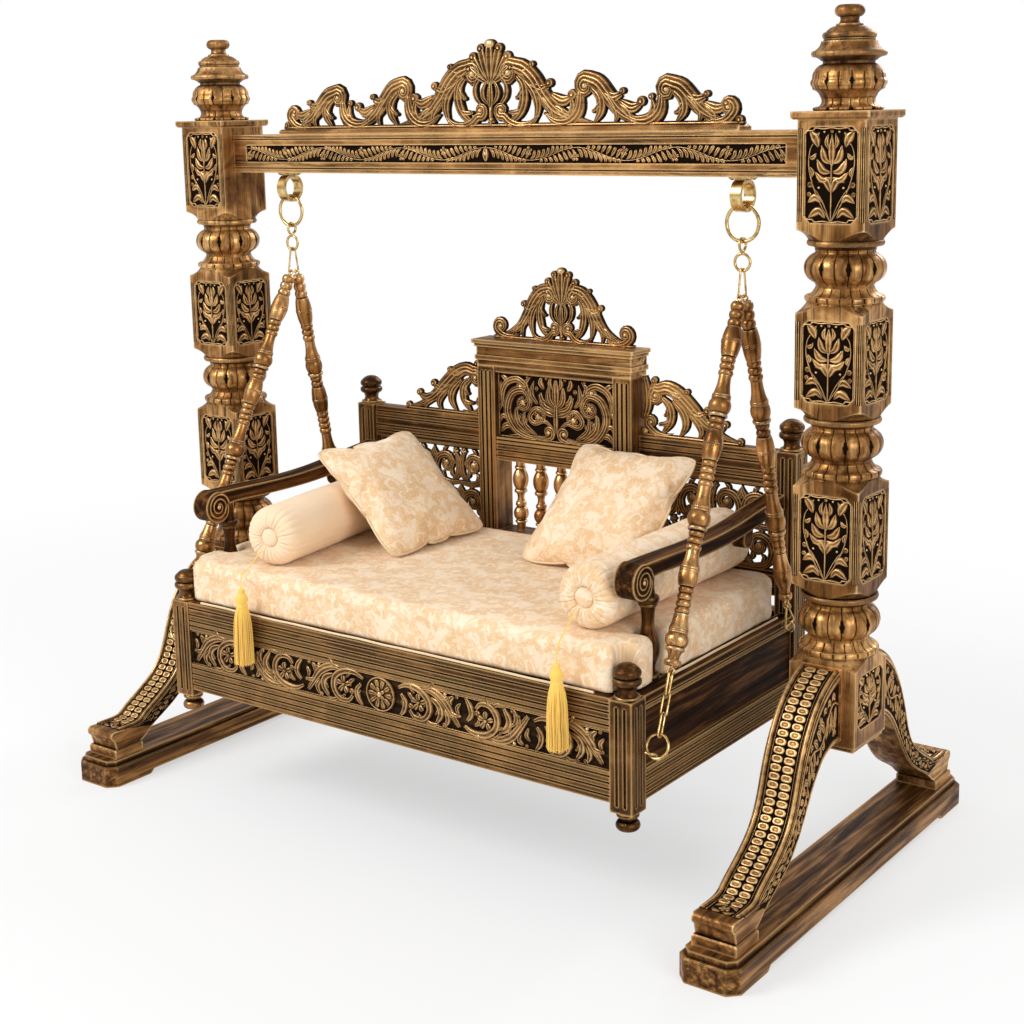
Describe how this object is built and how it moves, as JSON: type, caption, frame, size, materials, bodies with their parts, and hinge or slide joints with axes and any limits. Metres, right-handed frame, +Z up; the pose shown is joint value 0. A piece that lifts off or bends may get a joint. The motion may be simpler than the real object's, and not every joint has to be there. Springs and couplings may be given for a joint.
{
  "type": "jhoola swing",
  "caption": "Carved wooden indoor swing: a two-post stand with a crested beam carries a day-bed seat with back, arms, mattress, bolsters and cushions on turned rods and chain.",
  "frame": {"origin": "on the floor midway between the two posts, under the beam's centre line", "axes": "+X along the beam towards the right post, -Y out of the seat's front, +Z up"},
  "size_m": [2.191, 1.262, 2.0847],
  "materials": {
    "gilded_wood": "satin",
    "dark_wood": "satin",
    "turned_wood": "gloss",
    "plain_wood": "matte",
    "brass_hardware": "satin",
    "steel_fasteners": "satin",
    "damask": "matte",
    "plain_cotton": "matte",
    "tassel_thread": "matte"
  },
  "bodies": {
    "stand": {"skid_left": "dark_wood", "skid_right": "dark_wood", "brace_front_left": "gilded_wood", "brace_front_right": "gilded_wood", "brace_rear_left": "gilded_wood", "brace_rear_right": "gilded_wood", "post_left": "gilded_wood", "post_right": "gilded_wood", "cap_plates": "gilded_wood", "finials": "gilded_wood", "beam": "gilded_wood", "crest_base": "gilded_wood", "crest_carving": "gilded_wood", "brackets": "brass_hardware", "frame_fasteners": "steel_fasteners"},
    "ring_left": {"big_ring_left": "brass_hardware"},
    "ring_right": {"big_ring_right": "brass_hardware"},
    "hanger_left": {"hooks_left": "brass_hardware", "rod_front_left": "turned_wood", "rod_rear_left": "turned_wood", "rod_eyes_left": "brass_hardware", "chains_left": "brass_hardware"},
    "hanger_right": {"hooks_right": "brass_hardware", "rod_front_right": "turned_wood", "rod_rear_right": "turned_wood", "rod_eyes_right": "brass_hardware", "chains_right": "brass_hardware"},
    "seat": {"corner_post_front_left": "dark_wood", "corner_post_front_right": "dark_wood", "corner_post_rear_left": "dark_wood", "corner_post_rear_right": "dark_wood", "side_panel_left": "dark_wood", "side_panel_right": "dark_wood", "arm_left": "dark_wood", "arm_right": "dark_wood", "bolster_left": "plain_cotton", "bolster_right": "damask", "cushion_left": "damask", "cushion_right": "damask", "corner_knobs": "turned_wood", "corner_feet": "dark_wood", "front_rails": "dark_wood", "front_panel": "gilded_wood", "side_rails": "dark_wood", "rear_rail": "dark_wood", "seat_slats": "plain_wood", "back_stiles": "dark_wood", "back_cornice": "dark_wood", "back_rails": "dark_wood", "back_panel": "gilded_wood", "back_spindles": "turned_wood", "fret_panels": "gilded_wood", "side_crests": "gilded_wood", "centre_crest": "gilded_wood", "arm_supports": "dark_wood", "seat_eyes": "brass_hardware", "mattress": "damask", "tassels": "tassel_thread", "tassel_cords": "tassel_thread"}
  },
  "joints": [
    {"name": "swing", "type": "hinge", "parent": "stand", "child": "ring_left", "pos_m": [-0.735, 0, 1.63844], "axis": [1, 0, 0], "range_deg": [-20, 20]},
    {"name": "swing_right", "type": "hinge", "parent": "stand", "child": "ring_right", "pos_m": [0.735, 0, 1.63844], "axis": [1, 0, 0], "range_deg": [-20, 20]},
    {"name": "sway", "type": "hinge", "parent": "ring_left", "child": "hanger_left", "pos_m": [-0.745, 0, 1.59544], "axis": [0, 1, 0], "range_deg": [-1, 1]},
    {"name": "sway_right", "type": "hinge", "parent": "ring_right", "child": "hanger_right", "pos_m": [0.745, 0, 1.59544], "axis": [0, 1, 0], "range_deg": [-1, 1]},
    {"name": "seat_level", "type": "hinge", "parent": "hanger_left", "child": "seat", "pos_m": [-0.745, 0, 0.54], "axis": [0, 1, 0], "range_deg": [-1, 1]}
  ],
  "couplings": [
    {"joint": "swing_right", "follows": "swing", "ratio": 1},
    {"joint": "sway_right", "follows": "sway", "ratio": 1},
    {"joint": "seat_level", "follows": "sway", "ratio": -1}
  ]
}
